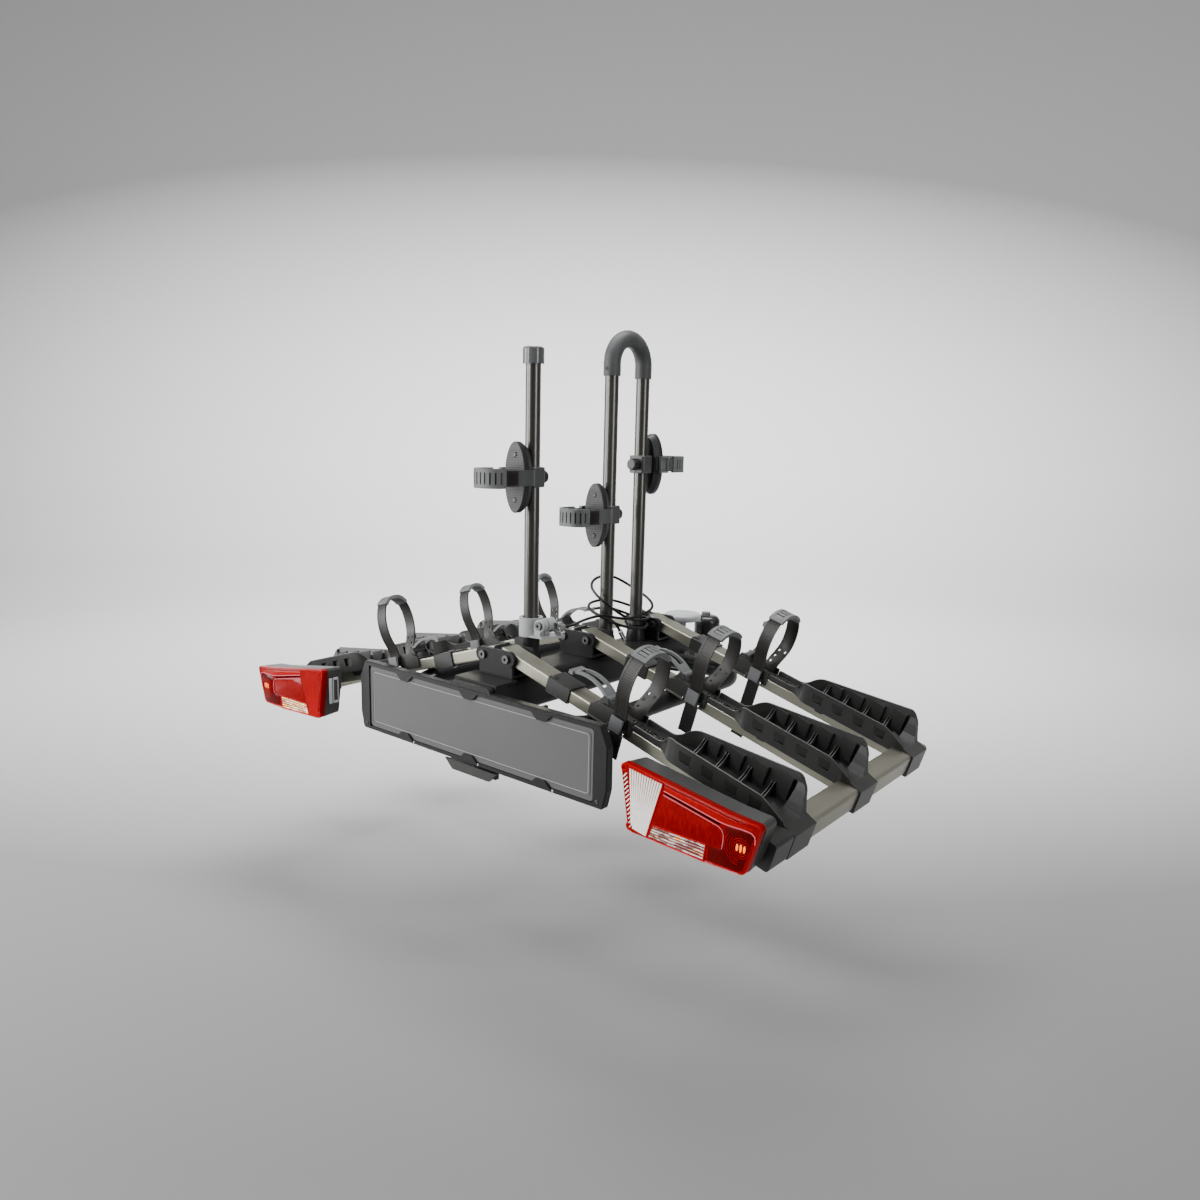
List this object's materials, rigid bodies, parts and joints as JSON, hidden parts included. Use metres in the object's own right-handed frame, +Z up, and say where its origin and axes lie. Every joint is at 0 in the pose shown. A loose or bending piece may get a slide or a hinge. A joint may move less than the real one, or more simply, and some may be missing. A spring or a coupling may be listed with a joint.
{
  "type": "tow-bar bike carrier",
  "caption": "Folding tow-ball bike carrier with clamp posts, moulded wheel trays with ratchet straps, a number-plate board and tail lamps.",
  "frame": {"origin": "centre of the tow ball that the coupling closes on", "axes": "+X to the right as seen from behind the vehicle, +Y forward to the vehicle, +Z up"},
  "size_m": [1.1152, 0.7625, 0.737],
  "materials": {
    "black_plastic": "satin moulded",
    "grey_plastic": "fine moulded",
    "pad_grey": "ribbed moulded",
    "strap_black": "satin",
    "cable_black": "smooth sheath",
    "frame_black": "satin powder coat",
    "cast_dark": "coated casting",
    "post_black": "dark anodised",
    "rail_grey": "bronze-grey anodised",
    "zinc": "zinc plated",
    "bright_steel": "polished",
    "key_steel": "knurled",
    "gloss_black": "polished moulded",
    "plate_grey": "reflective sheet, bare",
    "lamp_body": "moulded",
    "lamp_red": "clear moulded"
  },
  "bodies": {
    "coupling": {"coupling_body": "cast_dark", "lock_housing": "gloss_black"},
    "key": {"lock_key": "key_steel"},
    "knob": {"tension_knob": "grey_plastic"},
    "lever": {"clamp_lever": "grey_plastic"},
    "jaw": {"ball_jaw": "cast_dark"},
    "chassis": {"main_beam": "frame_black", "frame_tube": "frame_black", "hinge_brackets": "frame_black", "frame_bolts": "zinc", "u_frame": "post_black", "u_frame_sleeve": "grey_plastic", "post_collar": "grey_plastic", "lock_cable": "cable_black", "cable_lock": "bright_steel", "plate_holder": "gloss_black", "number_plate": "plate_grey"},
    "post": {"single_post": "post_black", "post_cap": "grey_plastic"},
    "pedal": {"latch_pedal": "black_plastic"},
    "clamp_1": {"clamp_1_block": "grey_plastic"},
    "clamp_1_head": {"clamp_1_pad": "pad_grey", "clamp_1_strap": "strap_black"},
    "clamp_1_knob": {"clamp_1_knob": "grey_plastic"},
    "clamp_2": {"clamp_2_block": "grey_plastic"},
    "clamp_2_head": {"clamp_2_pad": "pad_grey", "clamp_2_strap": "strap_black"},
    "clamp_2_knob": {"clamp_2_knob": "grey_plastic"},
    "clamp_3": {"clamp_3_block": "grey_plastic"},
    "clamp_3_head": {"clamp_3_pad": "pad_grey", "clamp_3_strap": "strap_black"},
    "clamp_3_knob": {"clamp_3_knob": "grey_plastic"},
    "wing_right": {"right_rails": "rail_grey", "right_crossbar": "rail_grey", "right_rail_fittings": "black_plastic", "right_trays": "black_plastic", "right_strap_seats": "black_plastic", "right_wheel_straps": "strap_black", "right_lamp_housing": "lamp_body", "right_lamp_lens": "lamp_red"},
    "right_buckle_1": {"right_buckle_lever_1": "grey_plastic"},
    "right_cam_1": {"right_cam_lever_1": "grey_plastic"},
    "right_buckle_2": {"right_buckle_lever_2": "grey_plastic"},
    "right_cam_2": {"right_cam_lever_2": "grey_plastic"},
    "right_buckle_3": {"right_buckle_lever_3": "grey_plastic"},
    "right_cam_3": {"right_cam_lever_3": "grey_plastic"},
    "wing_left": {"left_rails": "rail_grey", "left_crossbar": "rail_grey", "left_rail_fittings": "black_plastic", "left_trays": "black_plastic", "left_strap_seats": "black_plastic", "left_wheel_straps": "strap_black", "left_lamp_housing": "lamp_body", "left_lamp_lens": "lamp_red"},
    "left_buckle_1": {"left_buckle_lever_1": "grey_plastic"},
    "left_cam_1": {"left_cam_lever_1": "grey_plastic"},
    "left_buckle_2": {"left_buckle_lever_2": "grey_plastic"},
    "left_cam_2": {"left_cam_lever_2": "grey_plastic"},
    "left_buckle_3": {"left_buckle_lever_3": "grey_plastic"},
    "left_cam_3": {"left_cam_lever_3": "grey_plastic"}
  },
  "joints": [
    {"name": "platform_tilt", "type": "hinge", "parent": "coupling", "child": "chassis", "pos_m": [0, -0.05, 0.024], "axis": [1, 0, 0], "range_deg": [0, 35]},
    {"name": "clamp_lever_swing", "type": "hinge", "parent": "coupling", "child": "lever", "pos_m": [0, 0.048, 0.041], "axis": [0, 0, -1], "range_deg": [0, 48]},
    {"name": "ball_jaw_slide", "type": "slide", "parent": "coupling", "child": "jaw", "axis": [0, 1, 0], "range_m": [0, 0.003]},
    {"name": "tension_knob_turn", "type": "hinge", "parent": "coupling", "child": "knob", "pos_m": [0, 0, 0.09], "axis": [0, 0, 1], "continuous": true},
    {"name": "lock_key_turn", "type": "hinge", "parent": "coupling", "child": "key", "pos_m": [0, 0.09, 0.088], "axis": [0, 0, 1], "range_deg": [0, 90]},
    {"name": "latch_pedal_press", "type": "hinge", "parent": "chassis", "child": "pedal", "pos_m": [0, -0.556, -0.022], "axis": [1, 0, 0], "range_deg": [0, 15], "stiffness_Nm_per_rad": 2, "springref_deg": -8.59},
    {"name": "post_lift", "type": "slide", "parent": "chassis", "child": "post", "axis": [0, 0, 1], "range_m": [0, 0.06]},
    {"name": "clamp_1_height", "type": "slide", "parent": "post", "child": "clamp_1", "axis": [0, 0, 1], "range_m": [-0.15, 0.1]},
    {"name": "clamp_1_swivel", "type": "hinge", "parent": "clamp_1", "child": "clamp_1_head", "pos_m": [0, -0.4564, 0.392], "axis": [0, 1, 0], "range_deg": [-90, 90]},
    {"name": "clamp_1_knob_turn", "type": "hinge", "parent": "clamp_1", "child": "clamp_1_knob", "pos_m": [0, -0.4564, 0.392], "axis": [0, 1, 0], "continuous": true},
    {"name": "clamp_2_height", "type": "slide", "parent": "chassis", "child": "clamp_2", "axis": [0, 0, 1], "range_m": [-0.05, 0.16]},
    {"name": "clamp_2_swivel", "type": "hinge", "parent": "clamp_2", "child": "clamp_2_head", "pos_m": [0, -0.2536, 0.32], "axis": [0, 1, 0], "range_deg": [-90, 90]},
    {"name": "clamp_2_knob_turn", "type": "hinge", "parent": "clamp_2", "child": "clamp_2_knob", "pos_m": [0, -0.2536, 0.32], "axis": [0, 1, 0], "continuous": true},
    {"name": "clamp_3_height", "type": "slide", "parent": "chassis", "child": "clamp_3", "axis": [0, 0, 1], "range_m": [-0.14, 0.08]},
    {"name": "clamp_3_swivel", "type": "hinge", "parent": "clamp_3", "child": "clamp_3_head", "pos_m": [0, -0.1615, 0.41], "axis": [0, 1, 0], "range_deg": [-90, 90]},
    {"name": "clamp_3_knob_turn", "type": "hinge", "parent": "clamp_3", "child": "clamp_3_knob", "pos_m": [0, -0.1615, 0.41], "axis": [0, 1, 0], "continuous": true},
    {"name": "wing_right_fold", "type": "hinge", "parent": "chassis", "child": "wing_right", "pos_m": [0.027, -0.316, 0.102], "axis": [0, -1, 0], "range_deg": [0, 84], "deforming": ["right_wheel_straps"]},
    {"name": "right_buckle_1_open", "type": "hinge", "parent": "wing_right", "child": "right_buckle_1", "pos_m": [0.25548, -0.5438, 0.03536], "axis": [0.9588, 0, -0.284], "range_deg": [0, 60]},
    {"name": "right_cam_1_open", "type": "hinge", "parent": "wing_right", "child": "right_cam_1", "pos_m": [0.22547, -0.516, 0.07137], "axis": [0, 1, 0], "range_deg": [0, 90]},
    {"name": "right_buckle_2_open", "type": "hinge", "parent": "wing_right", "child": "right_buckle_2", "pos_m": [0.25548, -0.3438, 0.03536], "axis": [0.9588, 0, -0.284], "range_deg": [0, 60]},
    {"name": "right_cam_2_open", "type": "hinge", "parent": "wing_right", "child": "right_cam_2", "pos_m": [0.22547, -0.316, 0.07137], "axis": [0, 1, 0], "range_deg": [0, 90]},
    {"name": "right_buckle_3_open", "type": "hinge", "parent": "wing_right", "child": "right_buckle_3", "pos_m": [0.25548, -0.1438, 0.03536], "axis": [0.9588, 0, -0.284], "range_deg": [0, 60]},
    {"name": "right_cam_3_close", "type": "hinge", "parent": "wing_right", "child": "right_cam_3", "pos_m": [0.22547, -0.116, 0.07137], "axis": [0, -1, 0], "range_deg": [0, 97]},
    {"name": "wing_left_fold", "type": "hinge", "parent": "chassis", "child": "wing_left", "pos_m": [-0.027, -0.316, 0.102], "axis": [0, 1, 0], "range_deg": [0, 84], "deforming": ["left_wheel_straps"]},
    {"name": "left_buckle_1_open", "type": "hinge", "parent": "wing_left", "child": "left_buckle_1", "pos_m": [-0.25548, -0.5438, 0.03536], "axis": [0.9588, 0, 0.284], "range_deg": [0, 60]},
    {"name": "left_cam_1_open", "type": "hinge", "parent": "wing_left", "child": "left_cam_1", "pos_m": [-0.22547, -0.516, 0.07137], "axis": [0, -1, 0], "range_deg": [0, 90]},
    {"name": "left_buckle_2_open", "type": "hinge", "parent": "wing_left", "child": "left_buckle_2", "pos_m": [-0.25548, -0.3438, 0.03536], "axis": [0.9588, 0, 0.284], "range_deg": [0, 60]},
    {"name": "left_cam_2_open", "type": "hinge", "parent": "wing_left", "child": "left_cam_2", "pos_m": [-0.22547, -0.316, 0.07137], "axis": [0, -1, 0], "range_deg": [0, 90]},
    {"name": "left_buckle_3_open", "type": "hinge", "parent": "wing_left", "child": "left_buckle_3", "pos_m": [-0.25548, -0.1438, 0.03536], "axis": [0.9588, 0, 0.284], "range_deg": [0, 60]},
    {"name": "left_cam_3_open", "type": "hinge", "parent": "wing_left", "child": "left_cam_3", "pos_m": [-0.22547, -0.116, 0.07137], "axis": [0, -1, 0], "range_deg": [0, 90]}
  ],
  "couplings": [
    {"joint": "ball_jaw_slide", "follows": "clamp_lever_swing", "m_per_rad": 0.003581}
  ]
}
